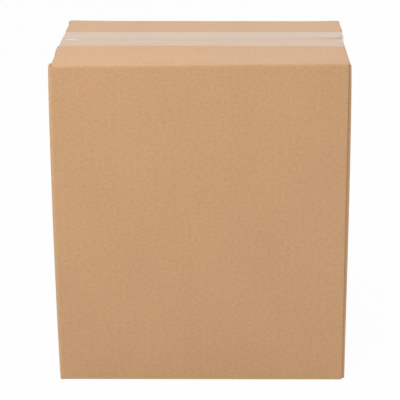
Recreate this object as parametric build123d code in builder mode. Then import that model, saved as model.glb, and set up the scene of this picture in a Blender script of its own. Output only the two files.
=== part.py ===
from build123d import *
import os

# A closed regular slotted carton of single-wall board, taped shut. Millimetres, +Z up.
# X runs across the front panel, the front faces -Y, and Z = 0 is the surface it stands on.

# Driving dimensions
outer_width = 235.0  # X, outside of the left panel to outside of the right panel
outer_depth = 159.5  # Y, outside of the front panel to outside of the back panel
outer_height = 268.0  # Z, bottom major flaps to the top creases of the front and back panels
board = 3.0  # B-flute corrugated board
crease_radius = 2.2  # outside of every fold
crease_inner_radius = 0.5  # inside of every fold
slot_inset = 2.3  # from the corner of a front or back panel to the end of its major flap
slot_root_drop = 0.6  # the slots are cut this far past the creases of the major flaps
layer_gap = 0.4  # between a minor flap and the major flap next to it
side_clearance = 0.5  # between a minor flap's edge and the inside of the front or back panel
seam_gap = 1.0  # between the two major flaps that meet in the middle
seam_rise = 2.5  # the top major flaps spring up by this much at their seam
tab_width = 35.0  # glue tab of the manufacturer's joint
tab_end_clearance = 4.0  # between the tab's ends and the ends of the plain panels
tab_taper = 8.0  # how much shorter each end of the tab is at its free edge
tape_width = 48.0
tape_film = 0.1
tape_tail = 60.0  # how far the tape reaches down, or up, the left and right panels
tape_lift = 0.7  # the tape meets a side panel this far before the end of its fold

# Positions that follow from them
half_width = outer_width / 2
half_depth = outer_depth / 2
bottom = tape_film
top = bottom + outer_height
crest = top + seam_rise  # the highest line of the board, along the top seam
side_bottom = bottom + board + layer_gap  # outer face of the bottom minor flaps
side_top = top - board - layer_gap  # outer face of the top minor flaps
panel_bottom = side_bottom + crease_radius  # the side panels are plain between these two
panel_top = side_top - crease_radius
flap_end = half_width - slot_inset  # X of the major flaps' ends and the front panel's raw edge
flap_edge = seam_gap / 2  # Y of the major flaps' free edges
minor_end = half_depth - board - side_clearance  # Y of the minor flaps' ends
minor_edge = half_width - half_depth + flap_edge  # X of the minor flaps' free edges
tab_root = half_width - board  # X where the glue tab leaves the right panel


# The folded blank: four panels, eight flaps and the glue tab, all of one sheet
with BuildPart() as carton:
    # The panels between their creases. At the front right corner the front panel stops short
    # and the right panel's fold shows behind its raw edge.
    with BuildSketch(Plane.XY.offset(panel_bottom)) as panels:
        with BuildLine():
            Polyline(
                (flap_end, -half_depth),
                (-half_width, -half_depth),
                (-half_width, half_depth),
                (half_width, half_depth),
                (half_width, -half_depth + board),
                (flap_end, -half_depth + board),
                close=True,
            )
        make_face()
        corner_columns = panels.vertices().group_by(Axis.X)
        fillet(corner_columns[0] + corner_columns[-1], crease_radius)
        Rectangle(outer_width - 2 * board, outer_depth - 2 * board, mode=Mode.SUBTRACT)
        fillet(panels.face().inner_wires()[0].vertices(), crease_inner_radius)
    extrude(amount=panel_top - panel_bottom)

    # Beside each slot the front and back panels reach almost to the creases of their flaps
    with BuildSketch(Plane.XY.offset(bottom + slot_root_drop)) as slot_sides:
        with GridLocations(0, outer_depth - board, 1, 2):
            Rectangle(outer_width, board)
        outer_corners = slot_sides.vertices().group_by(Axis.Y)
        fillet(outer_corners[0] + outer_corners[-1], crease_radius)
        Rectangle(2 * flap_end, outer_depth, mode=Mode.SUBTRACT)
        with Locations((half_width, -half_depth)):
            Rectangle(2 * slot_inset, 2 * board, mode=Mode.SUBTRACT)
    extrude(amount=outer_height - 2 * slot_root_drop)

    # Front panel with its two major flaps; the top one slopes up to the seam
    with BuildSketch(Plane.YZ) as major_strip:
        with BuildLine():
            major_face = Polyline(
                (-flap_edge, bottom),
                (-half_depth, bottom),
                (-half_depth, top),
                (-flap_edge, crest),
            )
            offset(major_face, amount=board, kind=Kind.INTERSECTION, side=Side.RIGHT)
        make_face()
        fillet(major_strip.vertices().group_by(Axis.X)[1], crease_inner_radius)
        fillet(major_strip.vertices().group_by(Axis.X)[0], crease_radius)
    front_strip = extrude(amount=flap_end, both=True)
    mirror(front_strip, about=Plane.XZ)

    # Left panel with its two minor flaps, which lie one board inside the major ones
    with BuildSketch(Plane.XZ) as minor_strip:
        with BuildLine():
            minor_face = Polyline(
                (-minor_edge, side_bottom),
                (-half_width, side_bottom),
                (-half_width, side_top),
                (-minor_edge, side_top),
            )
            offset(minor_face, amount=board, kind=Kind.INTERSECTION, side=Side.RIGHT)
        make_face()
        fillet(minor_strip.vertices().group_by(Axis.X)[1], crease_inner_radius)
        fillet(minor_strip.vertices().group_by(Axis.X)[0], crease_radius)
    left_strip = extrude(amount=minor_end, both=True)
    mirror(left_strip, about=Plane.YZ)

    # Glue tab, folded from the right panel and glued to the inside of the front panel
    with BuildSketch(Plane.XZ.offset(half_depth - 2 * board)):
        with BuildLine():
            Polyline(
                (tab_root, panel_bottom + tab_end_clearance),
                (tab_root, panel_top - tab_end_clearance),
                (tab_root - tab_width, panel_top - tab_end_clearance - tab_taper),
                (tab_root - tab_width, panel_bottom + tab_end_clearance + tab_taper),
                close=True,
            )
        make_face()
    extrude(amount=board)


def tape_block(film, tail_end, bridge_end, seam, slope):
    """The solid inside a taped end of the carton, with the tape's film this far off the board.

    The tape leaves the major flap at seam, leans out to bridge_end and follows the side panel
    to tail_end. slope is how fast it falls away from the seam to either side."""
    out = film if seam > bridge_end else -film
    fall = slope * (tape_width / 2 - flap_edge)
    with BuildPart() as block:
        with BuildSketch(Plane.XZ):
            with BuildLine():
                Polyline(
                    (-half_width - film, tail_end),
                    (-half_width - film, bridge_end),
                    (-flap_end - film, seam + out),
                    (flap_end + film, seam + out),
                    (half_width + film, bridge_end),
                    (half_width + film, tail_end),
                    close=True,
                )
            make_face()
        extrude(amount=tape_width / 2, both=True)
        with BuildSketch(Plane.YZ):
            with BuildLine():
                Polyline(
                    (-tape_width / 2, tail_end),
                    (-tape_width / 2, seam + out - fall),
                    (-flap_edge, seam + out),
                    (flap_edge, seam + out),
                    (tape_width / 2, seam + out - fall),
                    (tape_width / 2, tail_end),
                    close=True,
                )
            make_face()
        extrude(amount=outer_width, both=True, mode=Mode.INTERSECT)
    return block.part


# Clear tape along the top seam, turned down over both ends
top_run = {
    "tail_end": top - tape_tail,
    "bridge_end": panel_top + tape_lift,
    "seam": crest,
    "slope": seam_rise / (half_depth - flap_edge),
}
with BuildPart() as top_tape:
    add(tape_block(tape_film, **top_run))
    add(tape_block(0, **top_run), mode=Mode.SUBTRACT)

# Clear tape along the bottom seam, turned up over both ends
bottom_run = {
    "tail_end": bottom + tape_tail,
    "bridge_end": panel_bottom - tape_lift,
    "seam": bottom,
    "slope": 0,
}
with BuildPart() as bottom_tape:
    add(tape_block(tape_film, **bottom_run))
    add(tape_block(0, **bottom_run), mode=Mode.SUBTRACT)

carton.part.label = "carton"
top_tape.part.label = "top_tape"
bottom_tape.part.label = "bottom_tape"

os.makedirs("parts", exist_ok=True)
export_step(carton.part, "parts/carton.step")
export_step(top_tape.part, "parts/top_tape.step")
export_step(bottom_tape.part, "parts/bottom_tape.step")
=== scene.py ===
import math

import bmesh
import bpy
from mathutils import Matrix, Vector, noise


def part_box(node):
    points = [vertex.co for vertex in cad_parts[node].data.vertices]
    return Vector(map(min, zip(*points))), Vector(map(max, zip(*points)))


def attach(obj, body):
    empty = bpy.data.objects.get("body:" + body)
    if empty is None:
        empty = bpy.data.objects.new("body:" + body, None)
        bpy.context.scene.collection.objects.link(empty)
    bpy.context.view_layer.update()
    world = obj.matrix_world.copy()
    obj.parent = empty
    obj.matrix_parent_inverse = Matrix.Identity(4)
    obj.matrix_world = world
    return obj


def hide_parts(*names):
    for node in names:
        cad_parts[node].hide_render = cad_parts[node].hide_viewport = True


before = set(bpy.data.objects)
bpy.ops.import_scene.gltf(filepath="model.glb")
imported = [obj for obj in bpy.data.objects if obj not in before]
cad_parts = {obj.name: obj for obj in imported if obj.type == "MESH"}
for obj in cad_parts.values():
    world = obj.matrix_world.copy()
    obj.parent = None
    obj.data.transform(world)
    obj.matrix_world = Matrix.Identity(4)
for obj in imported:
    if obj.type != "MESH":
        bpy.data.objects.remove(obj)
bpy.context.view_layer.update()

# The carton's outside, from the frame. The front panel faces -Y.
board_low, board_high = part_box("carton")
tape_low, tape_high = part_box("top_tape")
HALF_WIDTH = board_high.x
HALF_DEPTH = board_high.y
BOTTOM = board_low.z
CREST = board_high.z  # along the seam of the top flaps
SEAM_RISE = 0.0025  # the top flaps slope up to the seam
TOP = CREST - SEAM_RISE  # the top creases of the front and back panels

# The board and its cuts and folds, in metres
BOARD = 0.003
LINER = 0.00035  # the paper on each face of the board
RECESS = 0.0008  # how far the fluted middle lies back in a cut edge
CORNER_RADIUS = 0.0022
CORNER_CRUSHED = 0.002  # thickness of the board in an upright crease
MARGIN = 0.0013  # beside an upright crease: a slot's far side, and where the board is thick again
FLAP_RADIUS = 0.0008
FLAP_CRUSHED = 0.0007  # thickness of the board in a flap's crease
FLAP_MARGIN = 0.0023  # beside a flap's crease, where the board is thick again
STEPS = 6  # a crease bends in this many steps
PANEL_SPACING = 0.015  # between the points of a panel, about
LAYER_DROP = 0.0034  # the side panels' flaps lie this far inside the major ones
RAW_EDGE = HALF_WIDTH - 0.0023  # X of the front panel's cut edge, at the front right corner
JOINT_LAP = BOARD + 0.00005  # the glue tab lies this far behind the front panel's face
TAB_WIDTH = 0.0358
TAB_ROOT_CUT = 0.03  # share by which the tab is shorter than the panels where it leaves
TAB_TAPER = 0.063  # share by which it is shorter again at its free edge
SEAM_GAP = 0.00004  # between the two major flaps
SHORT_CUT = 0.0003  # the front flap is this much short at its right end
SHORT_FROM = 0.086  # X where that begins
EAR_STEP = 5  # the corners stand between the flaps up to this step of a crease
HAIR = 1e-6  # two places nearer than this are the same
SHARP_ANGLE = math.radians(35)  # edges that turn by more than this show as sharp

# Where a top flap is longer than its panel: the panel (0 the front one, 2 the back one), the
# side, by how much, the distance from the crease over which it grows so long, the distance at
# which the tape begins, and how much longer the tape leaves it
OVERHANGS = (
    (0, -1, 0.0021, 0.045, 0.058, 0.0003),
    (2, -1, 0.0015, 0.004, 0.046, 0.0004),
    (2, 1, 0.0031, 0.004, 0.048, 0.0018),
)
TAPE_PULL = 0.008  # from here to the seam the tape pulls the flaps' ends back into line

# How far the closed carton has given, in metres
TWIST = 0.00062  # at each top corner, up or down in turn
TAPER = 0.0005  # at each side, wider at the front and narrower at the back
# The side panels: how far each leans outwards at the bottom and at the top, how far it bows
# outwards between them in the lower and the upper half, and the power by which all this fades
# towards the middle of the carton
LEFT_GIVE = ((0.00035, -0.0005), (0.00125, 0.00155), 2)
RIGHT_GIVE = ((0.0004, -0.0008), (0.0002, 0.00175), 80)
BOW_SHAPE = (0.6, 0.36)  # power of the bow's curve at the bottom and at the top
PANEL_BULGE = 0.0004  # of the front and back panels
BULGE_REACH = 5  # power by which it fades between them
TOP_ZONE = 0.1 * TOP  # the top's own give fades out over this far down
CREASE_HUMP = 0.0005  # the front flap swells by this much beside its crease
HUMP_RISE = 0.004  # over this distance from the crease
HUMP_FALL = 0.03  # and sinks again over this one
BACK_SAG = 0.0005  # of the back crease between its corners
BACK_SAG_FLATNESS = 8  # power of its curve
FRONT_FLAP_SAG = 0.0022  # at the right end, across the middle of the flap
FRONT_FLAP_SAG_FROM = -0.094  # X where that begins
SEAM_STEP = 0.0004  # the front flap lies this much lower at the right end of the seam
SEAM_STEP_FROM = 0.082  # X where that begins
SEAM_HOLD = 4  # power by which the seam holds the front flap level
UNEVEN = 0.00012  # of the top
UNEVEN_SCALE = 28  # dips and rises in a metre

# The tape
FILM = 0.00005  # thickness
FILM_GAP = 0.00003  # between the film and the board
FILM_SPREAD = 0.0013  # the film is this much wider than the block that stands for it
TAPE_WIDTH = tape_high.y - tape_low.y + FILM_SPREAD
TAIL_END = tape_low.z  # Z of the top tape's ends on the side panels
TAIL = CREST - TAIL_END
BRIDGE_DROP = 0.0074  # from the crest to where the tape meets a side panel
TOOTH = 0.0004  # half the depth of the teeth of a torn end
TOOTH_STEPS = 64  # half teeth across the tape
FILM_BRIDGE = 0.006  # the film reaches the lower flap this far from the seam
TAPE_CALM = 0.08  # X past which the film's points lie closer together

# Ridges where the top film is not pressed down: X, Y, half length, half width and height
WRINKLES = (
    (-0.1072, -0.0036, 0.0038, 0.0016, 0.0005),
    (0.006, 0.006, 0.03, 0.0009, 0.00008),
    (-0.045, -0.0095, 0.02, 0.001, 0.00008),
    (0.112, -0.009, 0.005, 0.001, 0.0002),
)
LIFTED_CLEAR = 0.0004  # so far off the board the film looks palest

# The paper
FLUTE_PITCH = 0.0065
FIBRE_SHARE = 0.76  # of the paper's tone; the cloudy part has the rest
FLUTE_SHARE = 0.01  # added by the flutes
BARK = (0.16, 0.08, 0.035, 1)
BARK_STRENGTH = 0.55
RUB_AND_HIGHLIGHT = 0.5  # how far a crease's fibres are made pale: rubbed wear, and a painted highlight along the crease
FLUTE_RELIEF = 0.25  # beside the fibres' own relief of 1
PAPER_RELIEF = 0.00006  # depth in metres
PAPER_ROUGHNESS = 0.45

# The film's shine: square on, at a low angle, and where it is lifted off the board
PLAIN_GLEAM = 0.04
LOW_GLEAM = 0.2
LOW_GLEAM_POWER = 1.5
LIFTED_GLEAM = 0.5
FILM_RELIEF = 0.00012
FILM_ROUGHNESS = 0.12

# The room and the camera
FLOOR_WHITE = 0.97  # of what the eye sees of the floor; its shadow shows in the rest
CAMERA_PLACE = (0.02701, -1.25482, 0.55997)
CAMERA_TURN = 1.3457  # degrees to the left
CAMERA_TILT = 18.9054  # degrees down
CAMERA_ROLL = -0.4826
LENS = 140.384  # millimetres
SENSOR = 36


# ---------------------------------------------------------------- shaping the board

def ruled(low, high, parts):
    """Evenly spaced lines from low to high."""
    return [low + (high - low) * i / parts for i in range(parts + 1)]


def in_order(*groups):
    """Lines from several groups, lowest first, each once."""
    return sorted({round(line, 7) for group in groups for line in group})


def flat_sheet(x_lines, z_lines):
    """A sheet in the front panel's plane, facing -Y, with its points where the lines cross."""
    bm = bmesh.new()
    columns = len(x_lines) - 1
    rows = len(z_lines) - 1
    bmesh.ops.create_grid(bm, x_segments=columns, y_segments=rows, size=0.5)
    for vert in bm.verts:
        x = x_lines[round((vert.co.x + 0.5) * columns)]
        z = z_lines[round((vert.co.y + 0.5) * rows)]
        vert.co = (x, -HALF_DEPTH, z)
    bm.normal_update()
    return bm


# The flat blank, from the front panel's cut edge at the right to the glue tab at the left
CORNER_BAND = STEPS * 2 * CORNER_RADIUS * math.sin(math.pi / 4 / STEPS)  # an upright crease
BAND = STEPS * 2 * FLAP_RADIUS * math.sin(math.pi / 4 / STEPS)  # a flap's crease
PANEL_WIDTHS = (
    RAW_EDGE + HALF_WIDTH - CORNER_RADIUS,
    2 * (HALF_DEPTH - CORNER_RADIUS),
    2 * (HALF_WIDTH - CORNER_RADIUS),
    2 * (HALF_DEPTH - CORNER_RADIUS) - JOINT_LAP,
    TAB_WIDTH,
)
panels = []
creases = []
right = RAW_EDGE
for width in PANEL_WIDTHS:
    panels.append((right - width, right))
    creases.append((right - width - CORNER_BAND, right - width))
    right = creases[-1][0]
creases.pop()  # no crease follows the glue tab

# Flap creases as (nearest the panel, furthest from it); those of the side panels lie lower
TOP_MAJOR = (TOP - FLAP_RADIUS, TOP - FLAP_RADIUS + BAND)
TOP_MINOR = (TOP_MAJOR[0] - LAYER_DROP, TOP_MAJOR[1] - LAYER_DROP)
BOTTOM_MAJOR = (BOTTOM + FLAP_RADIUS, BOTTOM + FLAP_RADIUS - BAND)
BOTTOM_MINOR = (BOTTOM_MAJOR[0] + LAYER_DROP, BOTTOM_MAJOR[1] + LAYER_DROP)
FLAP = HALF_DEPTH - FLAP_RADIUS - SEAM_GAP / 2  # a major flap, from its crease to the seam
EAR_TOP = TOP_MAJOR[0] + BAND * EAR_STEP / STEPS
EAR_BOTTOM = BOTTOM_MAJOR[0] - BAND * EAR_STEP / STEPS
MIDDLE = (TOP + BOTTOM) / 2

# For each corner, how far its top stands above the crease line: at its right, at its left
EARS = (
    (0.0009, -0.0004),
    (-0.0006, 0.0),
    (0.0, -0.0006),
    (-0.0031, -0.0003),
)
EAR_FOOT = 0.0001  # the corners' bottoms stand this much clear of the bottom flaps' level


def blank_lines():
    """The lines on which the blank has its points."""
    x_groups = [ruled(low, high, STEPS) for low, high in creases]
    for low, high in panels:
        parts = max(3, round((high - low) / PANEL_SPACING))
        x_groups.append([low] + ruled(low + MARGIN, high - MARGIN, parts) + [high])
    z_groups = [
        ruled(BOTTOM_MAJOR[1] - FLAP, BOTTOM_MAJOR[1] - FLAP_MARGIN, 6),
        ruled(BOTTOM_MAJOR[1], BOTTOM_MAJOR[0], STEPS),
        ruled(BOTTOM_MINOR[1], BOTTOM_MINOR[0], STEPS),
        ruled(BOTTOM_MINOR[0] + FLAP_MARGIN, TOP_MINOR[0] - FLAP_MARGIN, 18),
        ruled(TOP_MINOR[0], TOP_MINOR[1], STEPS),
        ruled(TOP_MAJOR[0], TOP_MAJOR[1], STEPS),
        ruled(TOP_MAJOR[1] + FLAP_MARGIN, TOP_MAJOR[1] + 2 * HUMP_RISE, 4),
        ruled(TOP_MAJOR[1] + 2 * HUMP_RISE, TOP_MAJOR[1] + FLAP, 12),
    ]
    return in_order(*x_groups), in_order(*z_groups)


def slot_span(corner):
    """The X span of a corner with its slots. The slots reach a little into the side panels."""
    low, high = creases[corner]
    if corner % 2:
        return low, high + MARGIN
    return low - MARGIN, high


def within(value, span):
    """Whether a value lies between the ends of a span, given in either order."""
    return min(span) < value < max(span)


def faces_where(bm, test):
    """The faces whose centres pass the test."""
    return [face for face in bm.faces if test(face.calc_center_median())]


def flap_faces(bm, columns, crease):
    """The faces of a flap, from the start of its crease outwards."""
    outwards = 1 if crease[1] > crease[0] else -1
    return faces_where(bm, lambda c: within(c.x, columns) and (c.z - crease[0]) * outwards > 0)


def flaps():
    """Each flap as its columns, its crease and the angle it is folded by."""
    tent = math.atan2(SEAM_RISE, HALF_DEPTH)
    found = []
    for number, (low, high) in enumerate(panels[:4]):
        if number % 2:
            columns = (low + MARGIN, high - MARGIN)
            found.append((columns, TOP_MINOR, -math.pi / 2))
            found.append((columns, BOTTOM_MINOR, math.pi / 2))
        else:
            found.append(((low, high), TOP_MAJOR, -math.pi / 2 + tent))
            found.append(((low, high), BOTTOM_MAJOR, math.pi / 2))
    return found


def cut_blank(bm):
    """Cuts the slots, frees the flaps from the corners and shapes the glue tab."""
    for corner in range(4):
        span = slot_span(corner)
        waste = faces_where(
            bm, lambda c: within(c.x, span) and not within(c.z, (EAR_BOTTOM, EAR_TOP))
        )
        bmesh.ops.delete(bm, geom=waste, context="FACES")
    tab = panels[4]
    waste = faces_where(
        bm, lambda c: within(c.x, tab) and not within(c.z, (BOTTOM_MINOR[0], TOP_MINOR[0]))
    )
    bmesh.ops.delete(bm, geom=waste, context="FACES")

    slits = []
    for columns, crease, _ in flaps():
        slit = (crease[0], EAR_TOP if crease[0] > MIDDLE else EAR_BOTTOM)
        for x in columns:
            slits += [
                edge for edge in bm.edges
                if all(abs(vert.co.x - x) < HAIR for vert in edge.verts)
                and within(sum(vert.co.z for vert in edge.verts) / 2, slit)
                and not edge.is_boundary
            ]
    bmesh.ops.split_edges(bm, edges=list(set(slits)))

    for vert in bm.verts:
        if vert.co.x < tab[1] - HAIR:
            reach = (tab[1] - vert.co.x) / TAB_WIDTH
            share = 1 - TAB_ROOT_CUT - TAB_TAPER * reach
            vert.co.z = MIDDLE + (vert.co.z - MIDDLE) * share


def trim_edges(bm):
    """Sets the corners' tops, the free edges of the minor flaps and the front flap's short end."""
    for corner, (right, left) in enumerate(EARS):
        low, high = slot_span(corner)
        for face in faces_where(bm, lambda c: within(c.x, (low, high))):
            for vert in face.verts:
                share = (vert.co.x - low) / (high - low)
                if abs(vert.co.z - EAR_TOP) < HAIR:
                    vert.co.z = TOP + left + (right - left) * share
                elif vert.co.z > TOP_MINOR[1] + HAIR:
                    drop = (TOP - EAR_TOP) + left + (right - left) * share
                    vert.co.z += drop * (vert.co.z - TOP_MINOR[1]) / (EAR_TOP - TOP_MINOR[1])
                if abs(vert.co.z - EAR_BOTTOM) < HAIR:
                    vert.co.z = BOTTOM + EAR_FOOT
    for low, high in (panels[1], panels[3]):
        for vert in bm.verts:
            if within(vert.co.x, (low, high)) and vert.co.z > TOP_MAJOR[1] + FLAP - HAIR:
                vert.co.z -= LAYER_DROP
            if within(vert.co.x, (low, high)) and vert.co.z < BOTTOM_MAJOR[1] - FLAP + HAIR:
                vert.co.z += LAYER_DROP
    for vert in bm.verts:
        if vert.co.z > TOP_MAJOR[1] + FLAP - HAIR and vert.co.x > panels[0][0]:
            past = max(0, vert.co.x - SHORT_FROM) / (RAW_EDGE - SHORT_FROM)
            vert.co.z -= SHORT_CUT * past ** 2


def corner_faces(bm):
    """The faces in the upright creases between the panels."""
    return faces_where(bm, lambda c: any(within(c.x, crease) for crease in creases))


def flap_crease_faces(bm):
    """The faces in the creases between the panels and their flaps."""
    found = []
    for columns, crease, _ in flaps():
        found += faces_where(bm, lambda c: within(c.x, columns) and within(c.z, crease))
    return found


def crush(faces, thickness):
    """Presses the board's inner side up to this thickness."""
    inner = -HALF_DEPTH + thickness
    for face in faces:
        for vert in face.verts:
            vert.co.y = min(vert.co.y, inner)


def thicken(bm):
    """Gives the blank its thickness, less in the creases, and sets back its fluted middle."""
    bmesh.ops.solidify(bm, geom=bm.faces[:], thickness=BOARD)
    crush(corner_faces(bm), CORNER_CRUSHED)
    crush(flap_crease_faces(bm), FLAP_CRUSHED)
    bm.normal_update()
    rim = [face for face in bm.faces if abs(face.normal.y) < 0.5]
    # the cut edges take the darker board: the cut paper's brown, with painted shade for the
    # hollows between the flutes
    for face in rim:
        face.material_index = 1
    folded_rows = (
        (TOP_MINOR[0], TOP_MAJOR[1]),
        (BOTTOM_MINOR[0], BOTTOM_MAJOR[1]),
    )
    hollow = []
    for face in rim:
        centre = face.calc_center_median()
        folded = any(within(centre.z, rows) for rows in folded_rows)
        if abs(centre.x - RAW_EDGE) < HAIR or not folded:
            hollow.append(face)
    bmesh.ops.inset_region(
        bm, faces=hollow, thickness=LINER, depth=-RECESS,
        use_boundary=True, use_even_offset=False,
    )


def bend(bm, verts, place, lines, outwards, angle):
    """Folds verts round a crease, by an equal share at each of its lines, the furthest first.

    place is 0 for a crease that stands upright and 2 for one that lies across the sheet."""
    blank = bm.verts.layers.float_vector["blank"]
    axis = "X" if place else "Z"
    key = 1 if place else 0
    steps = len(lines) - 1
    for number, line in enumerate(lines):
        turn = angle / steps * (0.5 if number in (0, steps) else 1)
        centre = Vector((0, -HALF_DEPTH, 0))
        centre[place] = line
        beyond = [vert for vert in verts if (vert[blank][key] - line) * outwards > HAIR]
        upon = [vert for vert in verts if abs(vert[blank][key] - line) <= HAIR]
        bmesh.ops.rotate(bm, verts=beyond, cent=centre, matrix=Matrix.Rotation(turn, 3, axis))
        bmesh.ops.rotate(bm, verts=upon, cent=centre, matrix=Matrix.Rotation(turn / 2, 3, axis))


def fold_blank(bm):
    """Folds the flaps, and then the walls round to the glued joint."""
    folded = []
    for columns, crease, angle in flaps():
        outwards = 1 if crease[1] > crease[0] else -1
        faces = flap_faces(bm, columns, crease)
        verts = list({vert for face in faces for vert in face.verts})
        folded.append((verts, crease, outwards, angle))
    for verts, crease, outwards, angle in folded:
        lines = ruled(crease[1], crease[0], STEPS)
        bend(bm, verts, 2, lines, outwards, angle)
    for low, high in reversed(creases):
        bend(bm, bm.verts[:], 0, ruled(low, high, STEPS), -1, -math.pi / 2)


def between(ends, share):
    """The value at this share of the way from the first end to the second."""
    return ends[0] + (ends[1] - ends[0]) * share


def flap_sunk(x, y, bridge):
    """How far the front top flap has sunk, across its middle and at the seam's right end."""
    if y >= 0:
        return 0
    inwards = max(0, 1 + y / HALF_DEPTH)
    held = inwards ** SEAM_HOLD
    along = max(0, (x - FRONT_FLAP_SAG_FROM) / (HALF_WIDTH - FRONT_FLAP_SAG_FROM))
    sag = FRONT_FLAP_SAG * along ** 2 * inwards * (1 - held)
    lower = max(0, (x - SEAM_STEP_FROM) / (HALF_WIDTH - SEAM_STEP_FROM)) ** 2
    return sag + SEAM_STEP * lower * held * min(1, -y / bridge)


def crease_swell(y):
    """How far the front top flap swells beside its crease."""
    inside = max(0, y + HALF_DEPTH - FLAP_RADIUS)
    return CREASE_HUMP * min(1, inside / HUMP_RISE) * max(0, 1 - inside / HUMP_FALL)


def settled(point, bridge=HAIR):
    """Where a point of the carton is once the board has given.

    bridge is how far in front of the seam the point's sheet takes to reach the front flap."""
    x, y, z = point
    across = min(1, x / HALF_WIDTH)
    aside = min(1, abs(across))
    deep = y / HALF_DEPTH
    height = min(1, max(0, z / TOP))
    near_top = min(1, max(0, (z - TOP + TOP_ZONE) / TOP_ZONE))
    belly = math.sin(math.pi * height)
    moved = Vector(point)

    side = -1 if across < 0 else 1
    lean, bow, reach = LEFT_GIVE if across < 0 else RIGHT_GIVE
    bowed = between(bow, height) * belly ** between(BOW_SHAPE, height)
    spread = between(lean, height) + bowed - TAPER * deep * height
    moved.x += side * spread * abs(across) ** reach
    moved.y += PANEL_BULGE * belly * deep ** BULGE_REACH * math.cos(math.pi / 2 * aside)

    moved.z -= TWIST * across * deep * height
    moved.z -= BACK_SAG * (1 - aside ** BACK_SAG_FLATNESS) * max(0, deep) ** 2 * near_top
    if z > TOP - BOARD:
        moved.z += crease_swell(y) - flap_sunk(x, y, bridge) * near_top
    moved.z += UNEVEN * noise.noise(Vector((x, y, 0)) * UNEVEN_SCALE) * near_top
    return moved


def finished(bm, name, materials, node):
    """Makes the piece that stands for a node of the frame."""
    mesh = bpy.data.meshes.new(name)
    bm.to_mesh(mesh)
    bm.free()
    for material in materials:
        mesh.materials.append(material)
    mesh.shade_smooth()
    mesh.set_sharp_from_angle(angle=SHARP_ANGLE)
    piece = bpy.data.objects.new(name, mesh)
    bpy.context.scene.collection.objects.link(piece)
    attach(piece, "root")
    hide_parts(node)


def longer_flaps(bm):
    """The points of each top flap that is longer than its panel, and how it is longer."""
    found = []
    for number, side, overhang, growth, last, taped in OVERHANGS:
        faces = flap_faces(bm, panels[number], TOP_MAJOR)
        flap = {vert for face in faces for vert in face.verts}
        found.append((flap, side, overhang, growth, last, taped))
    return found


def pushed_out(bm, longer):
    """The points at the longer flaps' ends, each with how far it stands out along X."""
    blank = bm.verts.layers.float_vector["blank"]
    found = []
    for flap, side, overhang, growth, last, taped in longer:
        for vert in flap:
            out = vert[blank].y - TOP_MAJOR[0]
            if vert.co.x * side > RAW_EDGE - MARGIN + HAIR and out > HAIR:
                push = overhang * min(1, out / growth)
                if out > last:
                    push = taped * min(1, (BAND + FLAP - out) / TAPE_PULL)
                found.append((vert, side * push))
    return found


def make_carton(kraft, cut_edge):
    """Cuts, creases and folds the carton, and lets it give."""
    bm = flat_sheet(*blank_lines())
    cut_blank(bm)
    trim_edges(bm)
    thicken(bm)
    blank = bm.verts.layers.float_vector.new("blank")
    crease = bm.verts.layers.float.new("crease")
    for vert in bm.verts:
        vert[blank] = (vert.co.x, vert.co.z, vert.co.y + HALF_DEPTH)
    for face in corner_faces(bm) + flap_crease_faces(bm):
        for vert in face.verts:
            vert[crease] = 1
    longer = longer_flaps(bm)
    fold_blank(bm)
    pushed = pushed_out(bm, longer)
    for vert in bm.verts:
        vert.co = settled(vert.co)
    for vert, push in pushed:
        vert.co.x += push
    finished(bm, "folded_carton", [kraft, cut_edge], "carton")


# ---------------------------------------------------------------- the tape

def held_out(x, y):
    """How far a top flap's end is off its place under the tape, on this side of the carton."""
    found = 0
    for number, side, _, _, _, taped in OVERHANGS:
        if x * side > 0 and (y > 0) == (number == 2):
            found += side * taped * min(1, abs(y) / TAPE_PULL)
    return found


def wrinkled(x, y):
    """How far the top film stands off the board."""
    return sum(
        high * math.exp(-((x - at_x) / length) ** 2 - ((y - at_y) / width) ** 2)
        for at_x, at_y, length, width, high in WRINKLES
    )


def lay_tape(name, node, film, top, centre, skew):
    """One strip of tape along a seam, turned over both ends and torn off on a toothed edge."""
    seam = CREST if top else BOTTOM
    away = 1 if top else -1
    slope = SEAM_RISE / HALF_DEPTH if top else 0
    drop = BRIDGE_DROP if top else BRIDGE_DROP - SEAM_RISE
    side = HALF_WIDTH + FILM_GAP
    flap_end = HALF_WIDTH - CORNER_RADIUS
    bridge = math.hypot(side - flap_end, drop)
    tail = TAIL - drop if top else TAIL - drop - SEAM_RISE
    reach = flap_end + bridge + tail
    half = TAPE_WIDTH / 2
    lengthwise = in_order(
        ruled(-reach, -flap_end - bridge, 8), ruled(-flap_end - bridge, -flap_end, 2),
        ruled(-flap_end, -TAPE_CALM, 16), ruled(-TAPE_CALM, TAPE_CALM, 16),
        ruled(TAPE_CALM, flap_end, 16),
        ruled(flap_end, flap_end + bridge, 2), ruled(flap_end + bridge, reach, 8),
    )
    bm = flat_sheet(lengthwise, ruled(-half, half, TOOTH_STEPS))
    blank = bm.verts.layers.float_vector.new("blank")
    lifted = bm.verts.layers.float.new("lifted")
    for vert in bm.verts:
        along = vert.co.x
        over = vert.co.z
        vert[blank] = (along, over, 0)
        step = round((over + half) / TAPE_WIDTH * TOOTH_STEPS)
        if abs(along) > reach - HAIR:
            along += math.copysign(TOOTH if step % 2 else -TOOTH, along)
        y = over + centre + skew * along
        board = seam - away * slope * abs(y) + away * FILM_GAP
        past = abs(along) - flap_end
        lean = min(1, max(0, past / bridge))
        x = math.copysign(min(abs(along), flap_end) + (side - flap_end) * lean, along)
        landing = seam - away * drop
        z = board + (landing - board) * lean - away * max(0, past - bridge)
        if top and past < HAIR:
            ridge = wrinkled(x, y)
            z += ridge
            vert[lifted] = ridge / LIFTED_CLEAR
        vert.co = settled((x, y, z), bridge=FILM_BRIDGE)
        if top and past > -HAIR:
            vert.co.x += held_out(x, y) * (1 - lean)
    bmesh.ops.solidify(bm, geom=bm.faces[:], thickness=-FILM)
    if not top:
        bmesh.ops.reverse_faces(bm, faces=bm.faces[:])
    finished(bm, name, [film], node)


# ---------------------------------------------------------------- materials

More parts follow.
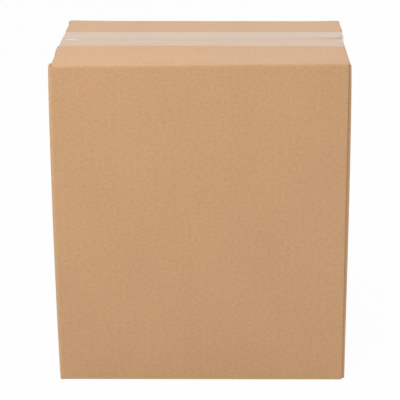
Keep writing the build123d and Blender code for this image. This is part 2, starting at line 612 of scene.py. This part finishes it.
def new_material(name):
    """An empty material, and its nodes."""
    material = bpy.data.materials.new(name)
    material.use_nodes = True
    material.node_tree.nodes.clear()
    return material, material.node_tree


def add_node(tree, kind, inputs=None, **settings):
    """Adds a node; an input is another node's output to link, or a value."""
    made = tree.nodes.new(kind)
    for key, value in settings.items():
        setattr(made, key, value)
    for key, value in (inputs or {}).items():
        if isinstance(value, bpy.types.NodeSocket):
            tree.links.new(value, made.inputs[key])
        else:
            made.inputs[key].default_value = value
    return made


def maths(tree, operation, *values):
    """The result of a sum on values or other nodes' outputs."""
    made = add_node(tree, "ShaderNodeMath", dict(enumerate(values)), operation=operation)
    return made.outputs[0]


def sheet_coordinates(tree, stretch):
    """Places on the flat sheet, in metres, with patterns drawn out by stretch."""
    place = add_node(tree, "ShaderNodeAttribute", attribute_name="blank")
    scaled = add_node(
        tree, "ShaderNodeVectorMath", {0: place.outputs["Vector"], 1: stretch},
        operation="MULTIPLY",
    )
    return scaled.outputs[0]


def fibres(tree, stretch, scale, detail):
    """A soft random pattern on the flat sheet, from 0 to 1."""
    made = add_node(
        tree, "ShaderNodeTexNoise",
        {"Vector": sheet_coordinates(tree, stretch), "Scale": scale, "Detail": detail},
    )
    return made.outputs["Fac"]


def flutes(tree):
    """The faint upright waves that the fluted middle shows through the liner, from -1 to 1."""
    place = add_node(
        tree, "ShaderNodeSeparateXYZ", {0: sheet_coordinates(tree, (1, 1, 1))}
    )
    turns = maths(tree, "MULTIPLY", place.outputs["X"], 2 * math.pi / FLUTE_PITCH)
    return maths(tree, "SINE", turns)


def specks(tree, spacing, radius):
    """Small dark bits of bark in the paper, one to each patch of the given spacing."""
    made = add_node(
        tree, "ShaderNodeTexVoronoi",
        {"Vector": sheet_coordinates(tree, (1, 1, 1)), "Scale": 1 / spacing},
        voronoi_dimensions="2D",
    )
    spot = add_node(
        tree, "ShaderNodeMapRange",
        {
            "Value": made.outputs["Distance"],
            "From Min": 0.4 * radius / spacing,
            "From Max": 1.3 * radius / spacing,
            "To Min": 1.0,
            "To Max": 0.0,
        },
    )
    return spot.outputs[0]


def mixed(tree, factor, first, second):
    """The first colour, turning into the second as factor goes from 0 to 1."""
    made = add_node(
        tree, "ShaderNodeMix", {0: factor, 6: first, 7: second}, data_type="RGBA"
    )
    return made.outputs[2]


def kraft_paper(name, light, dark, wear_and_highlight):
    """Brown kraft liner: fibres, cloudy tone, flutes, specks and paler creases, partly worn and
    partly a painted highlight.
    """
    material, tree = new_material(name)
    fine = fibres(tree, stretch=(0.85, 1, 1), scale=440, detail=3)
    cloud = fibres(tree, stretch=(1, 0.6, 1), scale=22, detail=2)
    tone = maths(tree, "MULTIPLY", cloud, 1 - FIBRE_SHARE)
    tone = maths(tree, "MULTIPLY_ADD", fine, FIBRE_SHARE, tone)
    tone = maths(tree, "MULTIPLY_ADD", flutes(tree), FLUTE_SHARE, tone)
    colour = mixed(tree, tone, dark, light)
    large = specks(tree, spacing=0.045, radius=0.0005)
    small = specks(tree, spacing=0.019, radius=0.0002)
    spots = maths(tree, "MAXIMUM", large, small)
    colour = mixed(tree, maths(tree, "MULTIPLY", spots, BARK_STRENGTH), colour, BARK)
    crease = add_node(tree, "ShaderNodeAttribute", attribute_name="crease").outputs["Fac"]
    # the creases turn paler: rubbed wear, and a painted highlight where the rounded crease meets
    # the light
    rubbed_and_lit = maths(tree, "MULTIPLY", crease, maths(tree, "MULTIPLY", fine, RUB_AND_HIGHLIGHT))
    colour = mixed(tree, rubbed_and_lit, colour, wear_and_highlight)
    relief = maths(tree, "MULTIPLY_ADD", flutes(tree), FLUTE_RELIEF, fine)
    bump = add_node(tree, "ShaderNodeBump", {"Height": relief, "Distance": PAPER_RELIEF})
    shader = add_node(
        tree, "ShaderNodeBsdfPrincipled",
        {
            "Base Color": colour, "Roughness": PAPER_ROUGHNESS, "Normal": bump.outputs[0],
        },
    )
    output = add_node(tree, "ShaderNodeOutputMaterial")
    tree.links.new(shader.outputs[0], output.inputs["Surface"])
    return material


def clear_film():
    """Clear packing tape: each face mirrors more at a low angle, with faint drawn-out streaks."""
    material, tree = new_material("clear_film")
    facing = add_node(tree, "ShaderNodeLayerWeight", {"Blend": 0.5}).outputs["Facing"]
    low = maths(tree, "POWER", facing, LOW_GLEAM_POWER)
    gleam = maths(tree, "MULTIPLY_ADD", low, LOW_GLEAM, PLAIN_GLEAM)
    lifted = add_node(tree, "ShaderNodeAttribute", attribute_name="lifted").outputs["Fac"]
    gleam = maths(tree, "MULTIPLY_ADD", lifted, LIFTED_GLEAM, gleam)
    streaks = fibres(tree, stretch=(0.06, 1, 1), scale=160, detail=2)
    tint = mixed(tree, streaks, (1.0, 0.98, 0.98, 1), (0.985, 1.0, 0.985, 1))
    relief = add_node(tree, "ShaderNodeBump", {"Height": streaks, "Distance": FILM_RELIEF})
    through = add_node(tree, "ShaderNodeBsdfTransparent", {"Color": tint})
    mirror = add_node(
        tree, "ShaderNodeBsdfPrincipled",
        {
            "Base Color": (1, 1, 1, 1), "Metallic": 1.0, "Roughness": FILM_ROUGHNESS,
            "Normal": relief.outputs[0],
        },
    )
    surface = add_node(
        tree, "ShaderNodeMixShader", {0: gleam, 1: through.outputs[0], 2: mirror.outputs[0]}
    )
    output = add_node(tree, "ShaderNodeOutputMaterial")
    tree.links.new(surface.outputs[0], output.inputs["Surface"])
    return material


# ---------------------------------------------------------------- floor, light and camera

def seen_directly(tree):
    """1 for what the eye sees straight, in a reflection or through glass."""
    path = add_node(tree, "ShaderNodeLightPath")
    seen = maths(tree, "MAXIMUM", path.outputs["Is Camera Ray"], path.outputs["Is Glossy Ray"])
    return maths(tree, "MAXIMUM", seen, path.outputs["Is Transmission Ray"])


def make_floor():
    """A white floor that still takes a little of the carton's shadow."""
    material, tree = new_material("white_floor")
    glow = add_node(tree, "ShaderNodeEmission", {"Color": (1, 1, 1, 1), "Strength": 1.0})
    paint = add_node(tree, "ShaderNodeBsdfDiffuse", {"Color": (0.7, 0.7, 0.7, 1)})
    share = maths(tree, "MULTIPLY", seen_directly(tree), FLOOR_WHITE)
    surface = add_node(
        tree, "ShaderNodeMixShader", {0: share, 1: paint.outputs[0], 2: glow.outputs[0]}
    )
    output = add_node(tree, "ShaderNodeOutputMaterial")
    tree.links.new(surface.outputs[0], output.inputs["Surface"])
    bm = bmesh.new()
    bmesh.ops.create_grid(bm, x_segments=1, y_segments=1, size=4)
    mesh = bpy.data.meshes.new("floor")
    bm.to_mesh(mesh)
    bm.free()
    mesh.materials.append(material)
    floor = bpy.data.objects.new("floor", mesh)
    bpy.context.scene.collection.objects.link(floor)


def make_world(ambient):
    """White to the eye, and a plain even light on the carton."""
    world = bpy.data.worlds.new("studio")
    bpy.context.scene.world = world
    world.use_nodes = True
    tree = world.node_tree
    tree.nodes.clear()
    plain = add_node(tree, "ShaderNodeBackground", {"Strength": ambient})
    white = add_node(tree, "ShaderNodeBackground", {"Strength": 1.0})
    for background in (plain, white):
        background.inputs["Color"].default_value = (1, 1, 1, 1)
    surface = add_node(
        tree, "ShaderNodeMixShader",
        {0: seen_directly(tree), 1: plain.outputs[0], 2: white.outputs[0]},
    )
    output = add_node(tree, "ShaderNodeOutputWorld")
    tree.links.new(surface.outputs[0], output.inputs["Surface"])


def make_softbox(name, turn, rise, distance, size, share):
    """A soft lamp turn degrees right of the front and rise degrees up.

    share is the light it casts square on, where 1 shows a colour as it is written."""
    lamp = bpy.data.lights.new(name, "AREA")
    lamp.shape = "SQUARE"
    lamp.size = size
    lamp.energy = share * (math.pi * distance) ** 2
    softbox = bpy.data.objects.new(name, lamp)
    aim = Matrix.Rotation(math.radians(turn), 4, "Z")
    aim = aim @ Matrix.Rotation(math.radians(90 - rise), 4, "X")
    place = Matrix.Translation((0, 0, MIDDLE)) @ aim
    softbox.matrix_world = place @ Matrix.Translation((0, 0, distance))
    softbox.visible_glossy = False  # the film mirrors the plain room and not the lamps
    bpy.context.scene.collection.objects.link(softbox)


def make_camera():
    """A long lens in front of the carton and above it, a little to its right."""
    lens = bpy.data.cameras.new("camera")
    lens.lens = LENS
    lens.sensor_width = SENSOR
    lens.clip_end = 20
    camera = bpy.data.objects.new("camera", lens)
    aim = Matrix.Rotation(math.radians(CAMERA_TURN), 4, "Z")
    aim = aim @ Matrix.Rotation(math.radians(90 - CAMERA_TILT), 4, "X")
    aim = aim @ Matrix.Rotation(math.radians(CAMERA_ROLL), 4, "Z")
    camera.matrix_world = Matrix.Translation(CAMERA_PLACE) @ aim
    bpy.context.scene.collection.objects.link(camera)
    bpy.context.scene.camera = camera


kraft = kraft_paper(
    "kraft_liner",
    light=(0.675, 0.395, 0.2, 1),
    dark=(0.45, 0.251, 0.12, 1),
    # the creases' paler colour: rubbed wear, and a painted highlight
    wear_and_highlight=(0.68, 0.44, 0.25, 1),
)
# darker than the liner: the cut board's own brown, with painted shade of the hollow flutes
cut_edge = kraft_paper(
    "cut_board",
    light=(0.50, 0.29, 0.14, 1),
    dark=(0.36, 0.20, 0.09, 1),
    wear_and_highlight=(0.50, 0.30, 0.16, 1),
)
film = clear_film()
make_carton(kraft, cut_edge)
lay_tape("top_film", "top_tape", film, top=True, centre=0.0017, skew=-0.0055)
lay_tape("bottom_film", "bottom_tape", film, top=False, centre=-0.001, skew=0.004)

make_floor()
make_world(ambient=0.6)
make_softbox("key", turn=-30, rise=46, distance=1.05, size=0.85, share=0.6)
make_softbox("fill", turn=115, rise=25, distance=2.2, size=1.2, share=0.35)
make_camera()
bpy.context.scene.view_settings.view_transform = "Standard"
